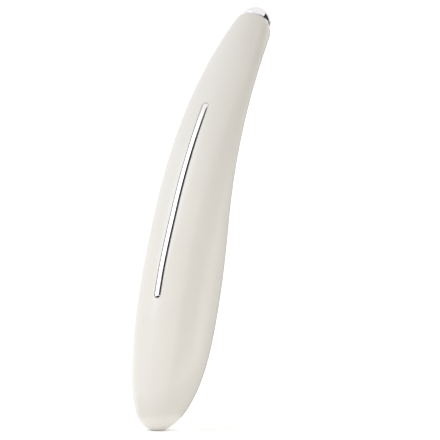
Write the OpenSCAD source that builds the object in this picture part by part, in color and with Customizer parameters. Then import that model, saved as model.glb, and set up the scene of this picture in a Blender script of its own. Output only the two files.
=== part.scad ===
// Heated eye massager wand.
// Z is up and the origin is the centre of the flat foot. -Y is the convex front with the touch
// strip, +Y is the concave back with the key, and the wand is symmetric about X = 0.
// Places along the body are distances on its centreline, measured from the foot of the shell.

/* [Body] */
// Length of the shell along its centreline
shell_len = 143; // [135:0.5:175]
// Greatest width of the body
belly_w = 26.4; // [24:0.2:32]
// Greatest depth of the body
belly_d = 26.4; // [24:0.2:32]
// Where the body is widest
belly_at = 44.5; // [37:0.5:54]
// How full the body is between the foot and its widest place
fullness = 2.5; // [2:0.05:3]
// Wall of the shell
wall = 1.6; // [1.2:0.05:2]
// Lean of the lower body, degrees back from upright
lower_lean = 16.5; // [5:0.5:22]
// Lean of the tip, degrees back from upright
tip_lean = 45.5; // [35:0.5:55]
// Where the body starts to bend
bend_start = 69.5; // [58:0.5:84]
// Straight length at the tip, above the bend
tip_straight = 7.5; // [6:0.5:10]

/* [Neck] */
// Diameter of the neck at the rim, before its edge is rounded
rim_d = 12; // [11.5:0.1:14.4]
// Length of the rounded edge at the rim
rim_round_len = 1.6; // [1:0.1:2]
// How far the rounded edge draws in
rim_round = 0.9; // [0.5:0.05:1]
// How far the widest width holds on up the body
width_hold = 29.5; // [20:0.5:40]
// Width that the flanks aim for on the way to the neck
neck_w = 21.4; // [18:0.2:24]
// How far below the rim that width is
neck_w_below = 20; // [15:1:26]
// How far the greatest depth holds on up the body
depth_hold = 20; // [16:1:32]
// Depth that front and back aim for on the way to the neck
neck_d = 12.2; // [12:0.2:14]
// How far below the rim that depth is
neck_d_below = 58; // [45:1:60]

/* [Foot] */
// Diameter of the shell's open foot
foot_d = 8.6; // [8.4:0.1:10.4]
// Height of the cap that closes the foot
foot_h = 1.2; // [1:0.1:1.5]
// Diameter of the flat that the wand stands on
foot_flat_d = 6.6; // [6:0.1:7.4]
// How far the foot sits forward of the lower body's own line
foot_forward = 1; // [0:0.1:1.5]
// Length over which the body comes into line above the foot
foot_blend = 25; // [20:1:30]

/* [Touch strip] */
// Where the strip's groove starts
strip_start = 39.5; // [32:0.5:48]
// Length of the strip's groove
strip_len = 66.2; // [50:0.2:80]
// Width of the strip
strip_w = 2.3; // [1.8:0.1:3]
// How far the strip's crown stands out
strip_proud = 0.2; // [0.1:0.05:0.3]
// Depth of the groove
groove_depth = 0.8; // [0.6:0.05:0.9]

/* [Back cover] */
// Where the cover starts
cover_start = 17; // [14:0.5:22]
// Length of rim and neck above the cover
cover_below_rim = 17.5; // [15:0.5:21]
// Half of the angle that the cover takes at the back
cover_angle = 50; // [42:1:55]
// Length over which the cover's ends are rounded
cover_round = 11; // [8:0.5:13]
// Gap all round the cover
seam = 0.15; // [0.1:0.01:0.2]

/* [Key] */
// Where the key is
key_at = 84; // [82:0.5:92]
// Width of the key
key_w = 6.4; // [5.4:0.2:7.6]
// Length of the key
key_len = 11; // [9.6:0.2:13]
// How far the key stands out
key_proud = 0.45; // [0.3:0.05:0.6]
// How far the key travels
key_travel = 0.4; // [0.25:0.05:0.45]
// Gap between the key and the cover
key_gap = 0.2; // [0.15:0.01:0.3]
// Diameter of the light window
window_d = 2; // [1.6:0.1:2.4]
// Distance of the light window above the key's centre
window_above = 11; // [9.6:0.5:13]

/* [Cell and board] */
// Diameter of the rechargeable cell
cell_d = 10; // [8:0.2:12]
// Length of the cell
cell_len = 44; // [36:0.5:46]
// Where the cell starts
cell_start = 15.5; // [14.5:0.5:18]
// Width of the circuit board
board_w = 12; // [10:0.5:14]
// Length of the circuit board
board_len = 40; // [32:0.5:42]
// Thickness of the circuit board
board_t = 1; // [0.8:0.1:1.2]
// Distance of the board's back face behind the centreline
board_back = 3.7; // [3.4:0.1:4]

/* [Motor] */
// Diameter of the vibration motor
motor_d = 6; // [5:0.1:7]
// Length of the motor's case
motor_len = 12; // [10:0.2:13]
// Distance of the motor's middle below the rim
motor_below_rim = 25; // [24:0.5:28]
// Diameter of the motor's shaft
shaft_d = 0.8; // [0.6:0.05:1]
// Radius of the eccentric weight
weight_r = 2.5; // [2:0.1:3]
// Length of the eccentric weight
weight_len = 3.6; // [3:0.1:4]

/* [Head] */
// Diameter of the metal dome
dome_d = 9.9; // [9.5:0.1:10.2]
// Height of the dome above its skirt
dome_h = 4.9; // [4:0.1:5.5]
// Height of the dome's straight skirt
skirt_h = 0.35; // [0.2:0.05:0.6]
// Height of the ring between dome and rim
ring_h = 0.4; // [0.3:0.05:0.6]
// Diameter of the dome's neck, inside the ring
dome_neck_d = 6; // [5.4:0.1:6.2]
// Diameter of the heater
heater_d = 4.2; // [3.6:0.1:4.4]

/* [Charging socket] */
// Bore of the socket
socket_bore_d = 2.56; // [2.3:0.02:3]
// Depth of the socket's bore
socket_bore_len = 9; // [8:0.5:11]
// Diameter of the socket's body
socket_d = 5.2; // [4.6:0.1:5.4]

/* [Fits] */
// Clearance between pieces that are put together
fit = 0.1; // [0.05:0.01:0.15]
// Clearance round the running shaft
running = 0.03; // [0.02:0.01:0.05]

/* [Hidden] */
$fn = 48;
ivory = [0.93, 0.92, 0.89];
chrome = [0.80, 0.81, 0.83];
steel = [0.62, 0.63, 0.65];
big = 60;
draft = 0.08;
bend_end = shell_len - tip_straight;
strip_end = strip_start + strip_len;
cover_end = shell_len - cover_below_rim;
bend_r = (bend_end - bend_start) / ((tip_lean - lower_lean) * PI / 180);
slot_at = key_at - 12;
slot_len = 2.4;
row_step = 4.5;
side_cells = 9;
back_cells = 8;

// ---- Centreline ----

// Lean of the centreline
function lean(s) =
    s < bend_start ? lower_lean
    : s < bend_end ? lower_lean + (s - bend_start) / bend_r * 180 / PI
    : tip_lean;
// Point of the centreline as [y, z]: a straight, an arc and a straight, drawn forward at the foot
function centre(s) =
    let (low = min(s, bend_start),
         high = max(s - bend_end, 0),
         a = lean(s),
         forward = foot_forward * (1 - pow(max(1 - s / foot_blend, 0), 2)))
    [low * sin(lower_lean) + bend_r * (cos(lower_lean) - cos(a)) + high * sin(a) + forward,
     low * cos(lower_lean) + bend_r * (sin(a) - sin(lower_lean)) + high * cos(a) + foot_h];
// Tilt of the cross-section: level at the foot, square to the centreline above it
function tilt(s) = lean(s) * min(s / foot_blend, 1);

// ---- Flanks ----

function bezier(t, a, b, c, d) =
    pow(1 - t, 3) * a + 3 * pow(1 - t, 2) * t * b + 3 * (1 - t) * t * t * c + pow(t, 3) * d;
// Bezier parameter at the height s, by halving
function bezier_at(s, hold, below, lo = 0, hi = 1, n = 18) =
    let (t = (lo + hi) / 2)
    n == 0 ? t
    : bezier(t, belly_at, belly_at + hold, shell_len - below, shell_len) < s
        ? bezier_at(s, hold, below, t, hi, n - 1)
        : bezier_at(s, hold, below, lo, t, n - 1);
// Half of a width or depth: a full curve below the widest place, a long taper above it
function flank(s, half, hold, neck, below) =
    s < belly_at
        ? let (reach = belly_at / pow(1 - pow(foot_d / 2 / half, fullness), 1 / fullness))
          half * pow(1 - pow((belly_at - s) / reach, fullness), 1 / fullness)
        : bezier(bezier_at(s, hold, below), half, half, neck / 2, rim_d / 2);
function half_w(s) = flank(s, belly_w / 2, width_hold, neck_w, neck_w_below);
function half_d(s) = flank(s, belly_d / 2, depth_hold, neck_d, neck_d_below);
// How far the rounded edge draws in near the rim
function rim_in(s) =
    let (q = min(max((s - shell_len + rim_round_len) / rim_round_len, 0), 1))
    rim_round * (1 - sqrt(1 - q * q));
// Longer than the wall where the flank slopes, so that the wall keeps its thickness
function slant(f, s) =
    let (h = 0.2, a = max(s - h, 0), b = min(s + h, shell_len))
    sqrt(1 + pow((f(b) - f(a)) / (b - a), 2));
// Point of the skin at the angle a from the front, and below the surface by depth
function skin(s, a, depth = 0, least = 0) =
    let (c = centre(s),
         q = tilt(s),
         round_in = depth > 0 ? 0 : rim_in(s),
         w = max(half_w(s) - round_in - depth * slant(function(v) half_w(v), s), least),
         u = -cos(a) * max(half_d(s) - round_in - depth * slant(function(v) half_d(v), s), least))
    [w * sin(a), c.x + u * cos(q), c.y - u * sin(q)];

// ---- Rows and columns of the shell ----

function sorted(v) =
    len(v) < 2 ? v
    : let (p = v[floor(len(v) / 2)])
      concat(sorted([for (x = v) if (x < p) x]), [p], sorted([for (x = v) if (x > p) x]));
// Rounds both ends of a long cut: 1 in its middle, less near its ends
function end_round(s, from, to, radius, least) =
    let (over = max(abs(s - (from + to) / 2) - (to - from) / 2 + radius, 0) / radius)
    sqrt(max(1 - over * over, least));
// Rows at every edge, rounded end and rim, filled up to the row step
row_keys = sorted(concat(
    [for (i = [0:5]) belly_at * (1 - cos(9 * i))],
    [for (i = [0:4]) shell_len - rim_round_len * (1 - sin(22.5 * i))],
    [for (i = [0:3]) strip_start + strip_w / 2 * (1 - cos(30 * i))],
    [for (i = [0:3]) strip_end - strip_w / 2 * (1 - cos(30 * i))],
    [strip_start + draft, strip_end - draft],
    [slot_at - slot_len / 2, slot_at + slot_len / 2],
    [for (i = [0:3]) cover_start + cover_round * (1 - cos(30 * i))],
    [for (i = [0:3]) cover_end - cover_round * (1 - cos(30 * i))]));
rows = [for (i = [0:len(row_keys) - 1])
    let (a = row_keys[i], b = i < len(row_keys) - 1 ? row_keys[i + 1] : a,
         n = max(ceil((b - a) / row_step), 1))
    each i == len(row_keys) - 1 ? [a] : b - a < 0.03 ? [] : [for (k = [0:n - 1]) a + (b - a) * k / n]];
// Angle at the front whose arc is the given half width
function front_angle(s, half) = asin(min(half / half_w(s), 0.9));
function groove_half(s) =
    (strip_w / 2 + fit) * end_round(s, strip_start, strip_end, strip_w / 2 + fit, 0.06);
// Angle from the front to the cover's edge
function cover_edge(s) =
    180 - cover_angle * (0.5 + 0.5 * end_round(s, cover_start, cover_end, cover_round, 0));
function columns(s) =
    let (g = front_angle(s, groove_half(s)),
         floor_g = front_angle(s, groove_half(s) - draft),
         e = cover_edge(s))
    concat([-g, -floor_g, floor_g, g],
           [for (i = [1:side_cells]) g + (e - g) * i / side_cells],
           [for (i = [1:back_cells]) e + (360 - 2 * e) * i / back_cells],
           [for (i = [1:side_cells - 1]) 360 - e + (e - g) * i / side_cells]);
function in_groove(s) = s > strip_start + draft / 2 && s < strip_end - draft / 2;
// Column numbers of the groove's floor and of the cover's opening
floor_col = 1;
open_from = 3 + side_cells;
open_to = open_from + back_cells;
function row_mid(i) = (rows[i] + rows[i + 1]) / 2;
// Least radius inside the shell, so that the upright spigot of the foot cap fits the leaning body
function foot_room(s) = s < belly_at ? cap_spigot_r + fit + centre(min(s, cap_spigot_h)).x : 0;
function cell_open(i, j) =
    (j >= open_from && j < open_to && row_mid(i) > cover_start && row_mid(i) < cover_end)
    || (j == floor_col && abs(row_mid(i) - slot_at) < slot_len / 2);

// ---- Building blocks ----

// A wall between two nets of points, closed at its edges and round the cells that are open.
// A ring joins its last column to its first.
module sheet(outer, inner, ring = false, open = function(i, j) false) {
    n = len(outer);
    m = len(outer[0]);
    k = n * m;
    cells = ring ? m : m - 1;
    function id(i, j) = i * m + j % m;
    function gone(i, j) =
        i < 0 || i > n - 2 || (!ring && (j < 0 || j >= cells)) || open(i, (j + cells) % cells);
    faces = [for (i = [0:n - 2], j = [0:cells - 1]) if (!gone(i, j))
        let (a = id(i, j), b = id(i, j + 1), c = id(i + 1, j + 1), d = id(i + 1, j))
        each concat(
            [[a, c, b], [a, d, c], [a + k, b + k, c + k], [a + k, c + k, d + k]],
            gone(i - 1, j) ? [[a, b, b + k], [a, b + k, a + k]] : [],
            gone(i + 1, j) ? [[c, d, d + k], [c, d + k, c + k]] : [],
            gone(i, j - 1) ? [[d, a, a + k], [d, a + k, d + k]] : [],
            gone(i, j + 1) ? [[b, c, c + k], [b, c + k, b + k]] : [])];
    polyhedron(points = concat([for (r = outer) each r], [for (r = inner) each r]), faces = faces);
}
// A solid through rings of points, closed by a flat end at each side
module loft(rings) {
    n = len(rings);
    m = len(rings[0]);
    sides = [for (i = [0:n - 2], j = [0:m - 1])
        let (a = i * m + j, b = i * m + (j + 1) % m)
        each [[a, b + m, b], [a, a + m, b + m]]];
    ends = [for (j = [1:m - 2]) each [[0, j, j + 1], [(n - 1) * m, (n - 1) * m + j + 1, (n - 1) * m + j]]];
    polyhedron(points = [for (r = rings) each r], faces = concat(sides, ends));
}
// The room inside the shell between two places, drawn in by a clearance
module room(from, to, clear) {
    n = ceil((to - from) / 6);
    loft([for (i = [0:n]) [for (j = [0:31]) skin(from + (to - from) * i / n, j * 11.25, wall + clear)]]);
}
// Puts a piece on the centreline: its Z runs along the body and its Y points to the back
module on_line(s) {
    translate([0, centre(s).x, centre(s).y])
        rotate([-lean(s), 0, 0])
            children();
}
// A block centred on X and Y, from z0 to z1
module block(x, y, z0, z1) {
    translate([-x / 2, -y / 2, z0])
        cube([x, y, z1 - z0]);
}
module tube(r_out, r_in, z0, z1) {
    translate([0, 0, z0])
        difference() {
            cylinder(r = r_out, h = z1 - z0);
            translate([0, 0, -1])
                cylinder(r = r_in, h = z1 - z0 + 2);
        }
}
// A bar with round ends that runs along the body, from y0 to y1 behind the centreline
module stadium(w, l, y0, y1) {
    for (z = [-1, 1])
        translate([0, y0, z * (l - w) / 2])
            rotate([-90, 0, 0])
                cylinder(d = w, h = y1 - y0);
    translate([-w / 2, y0, -(l - w) / 2])
        cube([w, y1 - y0, l - w]);
}

// ---- Shell pieces ----

module body_shell() {
    outer = [for (s = rows) let (c = columns(s)) [for (j = [0:len(c) - 1])
        skin(s, c[j], in_groove(s) && (j == 1 || j == 2) ? groove_depth : 0)]];
    inner = [for (s = rows) [for (a = columns(s)) skin(s, a, wall, foot_room(s))]];
    color(ivory)
        sheet(outer, inner, ring = true, open = function(i, j) cell_open(i, j));
}

// Rows of the cover, each with the row of the shell's opening whose angles it takes
cover_rows = concat([[cover_start + seam, cover_start]],
                    [for (s = rows) if (s > cover_start + 2 * seam && s < cover_end - 2 * seam) [s, s]],
                    [[cover_end - seam, cover_end]]);
// A net over the cover: the shell's opening, drawn in by the seam
function cover_net(depth) = [for (r = cover_rows)
    let (e = cover_edge(r[1]) + seam / half_w(r[0]) * 180 / PI)
    [for (i = [0:back_cells]) skin(r[0], e + (360 - 2 * e) * i / back_cells, depth)]];
// A hook that reaches under the shell's edge, on one side
hook_clear = 0.2;
module cover_hook(from, side) {
    span = [for (k = [0:2]) from + 2.5 * k];
    function angle(s, k) = 180 + side * (180 - cover_edge(s) + (k - 1) * 14);
    deep = [wall - 0.3, wall + hook_clear, wall + hook_clear];
    order = side > 0 ? [0, 1, 2] : [2, 1, 0];
    sheet([for (s = span) [for (k = order) skin(s, angle(s, k), deep[k])]],
          [for (s = span) [for (k = order) skin(s, angle(s, k), wall + 1)]]);
}
module back_cover() {
    color(ivory)
        difference() {
            union() {
                sheet(cover_net(0), cover_net(wall));
                for (from = [28, 64, 106], side = [-1, 1])
                    cover_hook(from, side);
            }
            on_line(key_at) {
                stadium(key_w + 2 * key_gap, key_len + 2 * key_gap, 2, 20);
                translate([0, 2, window_above])
                    rotate([-90, 0, 0])
                        cylinder(d = window_d + 2 * fit, h = 20);
            }
        }
}

cap_spigot_r = 3.5;
cap_spigot_h = 3.2;
cap_r = foot_d / 2 - 0.1;
nose_r = socket_bore_d / 2 + 0.65;
module base_cap() {
    color(ivory)
        rotate_extrude($fn = 96)
            polygon(concat(
                [[nose_r + fit / 2, 0]],
                [for (i = [0:6]) [foot_flat_d / 2 + (cap_r - foot_flat_d / 2) * sin(15 * i),
                                  (foot_h - fit) * (1 - cos(15 * i))]],
                [[cap_spigot_r, foot_h - fit],
                 [cap_spigot_r, foot_h + cap_spigot_h],
                 [socket_d / 2 + fit / 2, foot_h + cap_spigot_h],
                 [socket_d / 2 + fit / 2, foot_h],
                 [nose_r + fit / 2, foot_h]]));
}

// Strip angles: five lines across, with a crown
module trim_strip() {
    from = strip_start + fit;
    to = strip_end - fit;
    ends = [for (i = [0:4]) strip_w / 2 * (1 - cos(22.5 * i))];
    middle = [for (s = rows) if (s > from + strip_w && s < to - strip_w) s];
    span = concat([for (v = ends) from + v], middle, [for (i = [4:-1:0]) to - ends[i]]);
    function half(s) = strip_w / 2 * end_round(s, from, to, strip_w / 2, 0.05);
    crown = [0.25, 0.8, 1, 0.8, 0.25];
    across = [-1, -0.55, 0, 0.55, 1];
    color(chrome) {
        sheet([for (s = span) [for (k = [0:4])
                  skin(s, across[k] * front_angle(s, half(s)), -strip_proud * crown[k])]],
              [for (s = span) [for (k = [0:4])
                  skin(s, across[k] * front_angle(s, half(s)), groove_depth - 0.04)]]);
        on_line(slot_at)
            translate([0, -half_d(slot_at) + 1.7, 0])
                cube([1.2, 2.8, 1.6], center = true);
    }
}

// ---- Head ----

ring_r = dome_d / 2 - 0.12;
collar_r = rim_d / 2 - wall - 0.25;
neck_r = dome_neck_d / 2;
module insulating_ring() {
    color([0.95, 0.95, 0.94])
        on_line(shell_len)
            rotate_extrude($fn = 96)
                polygon([[neck_r + fit / 2, ring_h], [ring_r, ring_h], [ring_r, 0.03],
                         [collar_r, 0.03], [collar_r, -3], [neck_r + fit / 2, -3]]);
}
module massage_head() {
    base = ring_h;
    top = ring_h + skirt_h;
    color(chrome)
        on_line(shell_len)
            rotate_extrude($fn = 96)
                polygon(concat(
                    [[0, base + 2.1], [heater_d / 2 + 0.1, base + 2.1], [heater_d / 2 + 0.1, -2.6],
                     [neck_r, -2.6], [neck_r, base], [dome_d / 2 - 0.1, base], [dome_d / 2, base + 0.1]],
                    [for (i = [0:18]) [dome_d / 2 * cos(5 * i), top + dome_h * sin(5 * i)]]));
}
module heater_plate() {
    color([0.86, 0.55, 0.32])
        on_line(shell_len)
            translate([0, 0, ring_h + 0.9])
                cylinder(d = heater_d, h = 0.8);
}
module thermal_pad() {
    color([0.55, 0.66, 0.75])
        on_line(shell_len)
            translate([0, 0, ring_h + 1.7])
                cylinder(d = heater_d, h = 0.4);
}
module temperature_sensor() {
    color([0.15, 0.14, 0.14])
        on_line(shell_len) {
            translate([0.8, 0, ring_h + 0.1])
                cylinder(r = 0.6, h = 0.8);
            for (x = [0.55, 1.05])
                translate([x, 0, ring_h - 2])
                    cylinder(r = 0.12, h = 2.2, $fn = 16);
        }
}

// ---- Key ----

key_top = half_d(key_at) + key_proud;
flange_bottom = half_d(key_at) - wall - 1.35;
flange_side = 0.6;
seal_t = 0.35;
seal_gap = 0.08;
// A solid under the wand's back, as high as the given amount above the surface
module under_skin(above) {
    n = 8;
    reach = 2 * key_len;
    loft([for (i = [0:n]) [for (j = [0:31])
        skin(key_at + reach * (i / n - 0.5), j * 11.25, -above)]]);
}
module power_button() {
    color(ivory) {
        intersection() {
            under_skin(key_proud);
            on_line(key_at)
                stadium(key_w, key_len, flange_bottom + 0.3, key_top + 2);
        }
        intersection() {
            under_skin(-wall - seal_t - 2 * seal_gap);
            on_line(key_at)
                stadium(key_w + 2 * flange_side, key_len + 2 * flange_side, flange_bottom, key_top);
        }
        on_line(key_at)
            translate([0, plunger_top, 0])
                rotate([-90, 0, 0])
                    cylinder(r = 1, h = flange_bottom - plunger_top + 0.1);
    }
}
// A soft ring between the key's flange and the cover
module button_seal() {
    color([0.75, 0.75, 0.73])
        difference() {
            intersection() {
                under_skin(-wall - seal_gap);
                on_line(key_at)
                    stadium(key_w + 2 * flange_side, key_len + 2 * flange_side, flange_bottom, key_top);
            }
            under_skin(-wall - seal_gap - seal_t);
            on_line(key_at)
                stadium(key_w + 0.2, key_len + 0.2, flange_bottom - 1, key_top + 1);
        }
}
module light_pipe() {
    color([0.9, 0.93, 0.95])
        on_line(key_at)
            translate([0, led_top + 0.2, window_above])
                rotate([-90, 0, 0])
                    cylinder(d = window_d, h = window_top - led_top - 0.2);
}

// ---- Board ----

// The board lies flat under the key, across the bend. Its own frame is at its middle.
board_at = key_at;
switch_h = 1.5;
plunger_h = 1;
plunger_top = board_back + switch_h + 0.5;
led_top = board_back + 0.7;
coil_r = 1.7;
window_top = half_d(key_at + window_above) + window_above * window_above / 2 / bend_r - 0.05;
module circuit_board() {
    color([0.13, 0.42, 0.25])
        on_line(board_at)
            difference() {
                translate([0, board_back - board_t / 2, 0])
                    cube([board_w, board_t, board_len], center = true);
                for (z = [-1, 1])
                    translate([0, 0, z * (board_len / 2 - 3)])
                        rotate([-90, 0, 0])
                            cylinder(r = 0.8 + fit, h = 10);
            }
}
module tact_switch() {
    color([0.25, 0.25, 0.26])
        on_line(key_at)
            difference() {
                translate([0, board_back + switch_h / 2, 0])
                    cube([4.4, switch_h, 4.4], center = true);
                translate([0, plunger_top - plunger_h - key_travel - 0.3, 0])
                    rotate([-90, 0, 0])
                        cylinder(r = 1.1, h = 5);
            }
}
module switch_plunger() {
    color([0.1, 0.1, 0.1])
        on_line(key_at)
            translate([0, plunger_top - plunger_h, 0])
                rotate([-90, 0, 0])
                    cylinder(r = 1.05, h = plunger_h);
}
module status_led() {
    color([0.98, 0.96, 0.86])
        on_line(key_at)
            translate([0, board_back + 0.35, window_above])
                cube([1.2, 0.7, 2], center = true);
}
module control_chip() {
    color([0.12, 0.12, 0.13])
        on_line(board_at)
            translate([0, board_back + 0.45, -11])
                cube([5, 0.9, 5], center = true);
}
module charging_coil() {
    color([0.30, 0.29, 0.28])
        on_line(board_at)
            translate([board_w / 2 - coil_r - 0.2, board_back - board_t, -7])
                rotate([90, 0, 0])
                    cylinder(r = coil_r, h = 1.8);
}
module board_parts() {
    color([0.72, 0.62, 0.48])
        on_line(board_at)
            for (z = [-3, 7, 10], x = [-4.2, 4.2])
                translate([x, board_back + 0.3, z])
                    cube([1, 0.6, 1.8], center = true);
}
module board_screws() {
    color(steel)
        on_line(board_at)
            for (z = [-1, 1])
                translate([0, 0, z * (board_len / 2 - 3)])
                    rotate([-90, 0, 0]) {
                        translate([0, 0, board_back])
                            cylinder(r = 1.5, h = 0.8);
                        translate([0, 0, board_back - board_t - 2.2])
                            cylinder(r = 0.78, h = board_t + 2.3);
                    }
}

// ---- Cell ----

cell_mid = cell_start + cell_len / 2;
tab_t = 0.25;
module battery_cell() {
    color([0.20, 0.35, 0.62])
        on_line(cell_mid) {
            translate([0, 0, -cell_len / 2])
                cylinder(d = cell_d, h = cell_len - 0.8);
            translate([0, 0, cell_len / 2 - 0.8])
                cylinder(r = 2, h = 0.8);
        }
}
// A nickel tab: flat on the cell's end, then bent up its side towards the board
module battery_tab_top() {
    color(steel)
        on_line(cell_mid) {
            translate([-1.5, -1.5, cell_len / 2])
                cube([3, cell_d / 2 + 2, tab_t]);
            translate([-1.5, cell_d / 2 + 0.5 - tab_t, cell_len / 2])
                cube([3, tab_t, 2.5]);
        }
}
module battery_tab_bottom() {
    color(steel)
        on_line(cell_mid) {
            translate([-1.5, -1.5, -cell_len / 2 - tab_t])
                cube([3, cell_d / 2 + 2, tab_t]);
            translate([-1.5, cell_d / 2 + 0.5 - tab_t, -cell_len / 2 - tab_t])
                cube([3, tab_t, 7]);
        }
}
module battery_pads() {
    color([0.2, 0.2, 0.2])
        on_line(cell_mid)
            for (z = [-cell_len / 4, cell_len / 4])
                translate([0, -cell_d / 2 - 0.3, z])
                    cube([5, 0.5, 4], center = true);
}

// ---- Inner frame ----

rib_t = 1.4;
cell_clear = 0.15;
spine_front = cell_d / 2 + 2.2;
// Passages for the socket's leads, beside the pads in front of the cell
lead_side = 3;
lead_front = cell_d / 2 + 0.2;
chassis_from = cell_start - 2.4;
top_rib_at = cell_start + cell_len + 2.4;
chassis_to = board_at + board_len / 2 + 1;
// The board's tray lies under the board, on posts
post_h = 1;
tray_t = 1.4;
tray_w = 4;
module chassis() {
    color([0.82, 0.83, 0.84])
        difference() {
            union() {
                intersection() {
                    room(chassis_from - 2, chassis_to + 2, 0.25);
                    union() {
                        for (s = [chassis_from, cell_mid, top_rib_at])
                            on_line(s)
                                block(big, big, -rib_t / 2, rib_t / 2);
                        on_line(board_at)
                            translate([0, -10 + board_back - board_t - post_h, 0])
                                block(big, 20, board_len / 2 - 1.2, board_len / 2 + 0.2);
                    }
                }
                on_line(cell_mid)
                    translate([0, -spine_front + 0.7, 0])
                        block(7, 1.4, chassis_from - cell_mid, top_rib_at - cell_mid);
                on_line(board_at)
                    translate([0, board_back - board_t - post_h, 0]) {
                        translate([0, -tray_t / 2, 0])
                            block(tray_w, tray_t, top_rib_at - board_at, board_len / 2);
                        for (z = [-1, 1])
                            translate([0, 0, z * (board_len / 2 - 3)])
                                rotate([-90, 0, 0])
                                    cylinder(r = 1.9, h = post_h);
                    }
            }
            on_line(cell_mid)
                translate([0, 0, -cell_len / 2 - 0.5])
                    cylinder(d = cell_d + 2 * cell_clear, h = cell_len + 1);
            on_line(cell_mid) {
                for (x = [-1, 1])
                    translate([x * lead_side, -lead_front, -cell_len])
                        cylinder(r = lead_r + 0.25, h = 2 * cell_len);
                translate([0, cell_d / 2 + 0.7, 0])
                    cube([4, 2.4, 2 * cell_len], center = true);
            }
            on_line(board_at)
                for (z = [-1, 1])
                    translate([0, 0, z * (board_len / 2 - 3)])
                        rotate([-90, 0, 0])
                            translate([0, 0, board_back - board_t - 2.3])
                                cylinder(r = 0.78, h = 5);
        }
}

// ---- Motor ----

motor_at = shell_len - motor_below_rim;
case_t = 0.35;
sleeve_t = 0.6;
cap_t = 1.6;
motor_r = motor_d / 2;
module motor_case() {
    color(steel)
        on_line(motor_at) {
            tube(motor_r, motor_r - case_t, -motor_len / 2, motor_len / 2 - case_t);
            tube(motor_r, shaft_d / 2 + running, motor_len / 2 - case_t, motor_len / 2);
            tube(shaft_d / 2 + 0.5, shaft_d / 2 + running, motor_len / 2, motor_len / 2 + 0.6);
        }
}
module motor_end_cap() {
    color([0.22, 0.22, 0.23])
        on_line(motor_at)
            tube(motor_r - case_t, shaft_d / 2 + running, -motor_len / 2, -motor_len / 2 + cap_t);
}
module motor_magnet() {
    color([0.33, 0.32, 0.33])
        on_line(motor_at)
            tube(motor_r - case_t, motor_r - case_t - 0.7, -motor_len / 2 + cap_t + 1, motor_len / 2 - 1.6);
}
module motor_rotor() {
    rotor_r = motor_r - case_t - 0.7 - 0.25;
    lower = cap_t - motor_len / 2;
    color([0.72, 0.42, 0.22])
        on_line(motor_at)
            difference() {
                union() {
                    tube(rotor_r, shaft_d / 2, lower + 1.2, motor_len / 2 - 2);
                    tube(shaft_d / 2 + 0.5, shaft_d / 2, lower + 0.3, lower + 1.3);
                }
                for (a = [0, 120, 240])
                    rotate([0, 0, a])
                        translate([rotor_r, 0, 0])
                            cube([0.7, 0.35, motor_len], center = true);
            }
}
module motor_shaft() {
    color(steel)
        on_line(motor_at)
            translate([0, 0, -motor_len / 2 + 0.3])
                cylinder(d = shaft_d, h = motor_len + 0.7 + weight_len + 0.4);
}
module eccentric_weight() {
    color([0.55, 0.52, 0.46])
        on_line(motor_at)
            translate([0, 0, motor_len / 2 + 1])
                difference() {
                    union() {
                        intersection() {
                            cylinder(r = weight_r, h = weight_len);
                            translate([-weight_r, 0, 0])
                                cube([2 * weight_r, weight_r, weight_len]);
                        }
                        cylinder(r = shaft_d / 2 + 0.6, h = weight_len);
                    }
                    translate([0, 0, -1])
                        cylinder(d = shaft_d, h = weight_len + 2);
                }
}
module motor_sleeve() {
    color([0.16, 0.16, 0.17])
        on_line(motor_at)
            tube(motor_r + sleeve_t, motor_r, -motor_len / 2 + 1, motor_len / 2 - 1);
}
// Two clips hold the sleeve and a ring the dome's neck, and two rails join them.
// The clips are open at the back, where the head's leads pass.
carrier_below_rim = 5.5;
clip_back = 2.3;
module head_carrier() {
    seat = motor_r + sleeve_t;
    tip_s = shell_len - carrier_below_rim;
    color([0.82, 0.83, 0.84])
        difference() {
            intersection() {
                room(motor_at - motor_len, shell_len - 3.1, 0.2);
                union() {
                    on_line(motor_at) {
                        for (z = [-motor_len / 2 + 2.4, motor_len / 2 - 2.4])
                            translate([0, clip_back - big / 2, 0])
                                block(big, big, z - 0.9, z + 0.9);
                        for (x = [-1, 1])
                            translate([x * (seat + 1.2), 0, 0])
                                block(1.6, 3, -motor_len / 2 + 1.5, tip_s - motor_at);
                    }
                    on_line(tip_s)
                        block(big, big, -2, 2.4);
                }
            }
            on_line(motor_at)
                translate([0, 0, -motor_len])
                    cylinder(r = seat, h = 1.5 * motor_len);
            on_line(motor_at)
                translate([0, 0, motor_len / 2 - 1])
                    cylinder(r = weight_r + 0.5, h = weight_len + 4);
            on_line(tip_s)
                translate([0, 0, -5])
                    cylinder(r = neck_r - 0.6, h = 10);
        }
}

// ---- Foot and strip contact ----

module charge_socket() {
    color([0.78, 0.79, 0.80])
        difference() {
            union() {
                cylinder(r = nose_r, h = foot_h + 0.2);
                translate([0, 0, foot_h + 0.05])
                    cylinder(d = socket_d, h = socket_bore_len + 1 - foot_h);
            }
            translate([0, 0, -1])
                cylinder(d = socket_bore_d, h = socket_bore_len + 1);
        }
}
module socket_contact() {
    color([0.80, 0.66, 0.34])
        for (x = [-1, 1])
            translate([x * 1.5, 0, socket_bore_len + 1.05])
                block(0.5, 1.4, 0, 2.6);
}
module strip_terminal() {
    color(steel)
        on_line(slot_at)
            translate([0, -half_d(slot_at) + wall + 0.8, 0])
                difference() {
                    cube([3.6, 0.5, 4.4], center = true);
                    cube([1.22, 2, 1.62], center = true);
                }
}

// ---- Leads ----

lead_r = 0.3;
// How far the flat side of a lead lies from its middle
lead_side_r = lead_r * cos(22.5);
// Half width and half thickness of the twin leads
heater_twin = [0.6, 0.32];
sensor_twin = [0.45, 0.25];
// Length of the straight piece that stands on a soldered face
stand = 0.9;
// Where the head's leads pass the motor, beside and behind it
head_side = 3.3;
head_behind = 2.9;
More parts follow.
